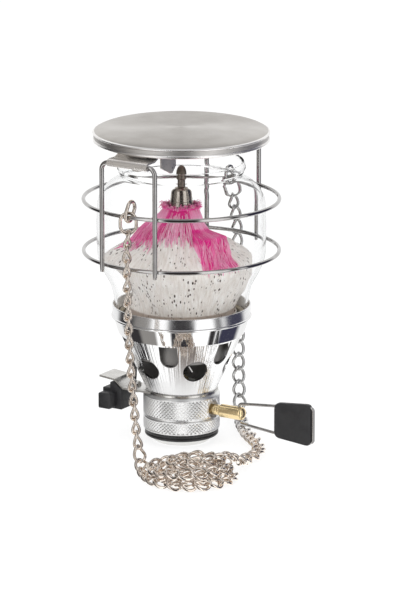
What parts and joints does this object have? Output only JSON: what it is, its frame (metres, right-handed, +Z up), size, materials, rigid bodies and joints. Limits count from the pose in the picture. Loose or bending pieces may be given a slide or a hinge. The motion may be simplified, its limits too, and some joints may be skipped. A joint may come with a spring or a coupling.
{
  "type": "gas lantern",
  "caption": "Gas lantern for a screw-on canister: glass globe in a wire guard, cloth mantle, vented chrome funnel, knurled valve body, fold-out valve handle, push igniter and hanging chain.",
  "frame": {"origin": "centre of the canister thread's mouth, on the plane of the foot's underside", "axes": "+Z up along the lantern's axis, +X along the valve spindle outwards, -Y towards the front frame wire"},
  "size_m": [0.1332, 0.1456, 0.1681],
  "materials": {
    "stainless": "spun and brushed in rings",
    "bracket_steel": "dull, slightly brown",
    "wire_steel": "drawn and polished",
    "globe_glass": "clear",
    "gasket_fibre": "matt",
    "chrome_sheet": "bright",
    "inner_steel": "satin",
    "burner_metal": "dull nickel",
    "mantle_cloth": "open-mesh cloth, dyed pink near the top",
    "brass": "turned",
    "ceramic": "glazed",
    "lead_sheath": "smooth",
    "bracket_plate": "plated",
    "black_plastic": "fine grain",
    "knurled_aluminium": "diamond knurl",
    "black_rubber": "matt",
    "pale_bush": "turned",
    "chain_steel": "nickel plated"
  },
  "bodies": {
    "lantern": {"top_cap": "stainless", "cap_bracket": "bracket_steel", "frame_wire_front": "wire_steel", "frame_wire_rear": "wire_steel", "guard_ring_upper": "wire_steel", "guard_ring_lower": "wire_steel", "glass_globe": "globe_glass", "globe_gasket": "gasket_fibre", "globe_collar": "chrome_sheet", "vent_funnel": "chrome_sheet", "mantle_ring": "inner_steel", "burner_tube": "inner_steel", "burner_bell": "burner_metal", "burner_cap": "burner_metal", "mantle": "mantle_cloth", "mantle_ties": "mantle_cloth", "gas_jet": "brass", "funnel_nut": "inner_steel", "electrode_insulator": "ceramic", "electrode_rod": "inner_steel", "ignition_lead": "lead_sheath", "igniter_bracket": "bracket_plate", "igniter_housing": "black_plastic", "bracket_screw": "inner_steel", "bracket_nut": "inner_steel", "valve_body": "knurled_aluminium", "connector_ring": "knurled_aluminium", "base_seal": "black_rubber", "thread_bush": "pale_bush", "canister_seal": "black_rubber", "valve_pin": "brass", "gland_nut": "brass", "spindle_seal": "black_rubber", "chain_end_links": "chain_steel", "chain_drop_links": "chain_steel", "chain_front": "chain_steel", "chain_heap": "chain_steel", "chain_rear": "chain_steel"},
    "valve_spindle": {"valve_spindle": "brass"},
    "valve_handle": {"handle_wire": "wire_steel", "handle_grip": "black_plastic"},
    "igniter_button": {"igniter_button": "black_plastic"}
  },
  "joints": [
    {"name": "valve_turn", "type": "hinge", "parent": "lantern", "child": "valve_spindle", "pos_m": [0.0355, 0, 0.0191], "axis": [1, 0, 0], "range_deg": [0, 720]},
    {"name": "handle_fold", "type": "hinge", "parent": "valve_spindle", "child": "valve_handle", "pos_m": [0.0355, 0, 0.0191], "axis": [0, 0, 1], "range_deg": [-45, 95]},
    {"name": "igniter_press", "type": "slide", "parent": "lantern", "child": "igniter_button", "axis": [0, 1, 0], "range_m": [0, 0.0045], "stiffness_N_per_m": 1500}
  ]
}
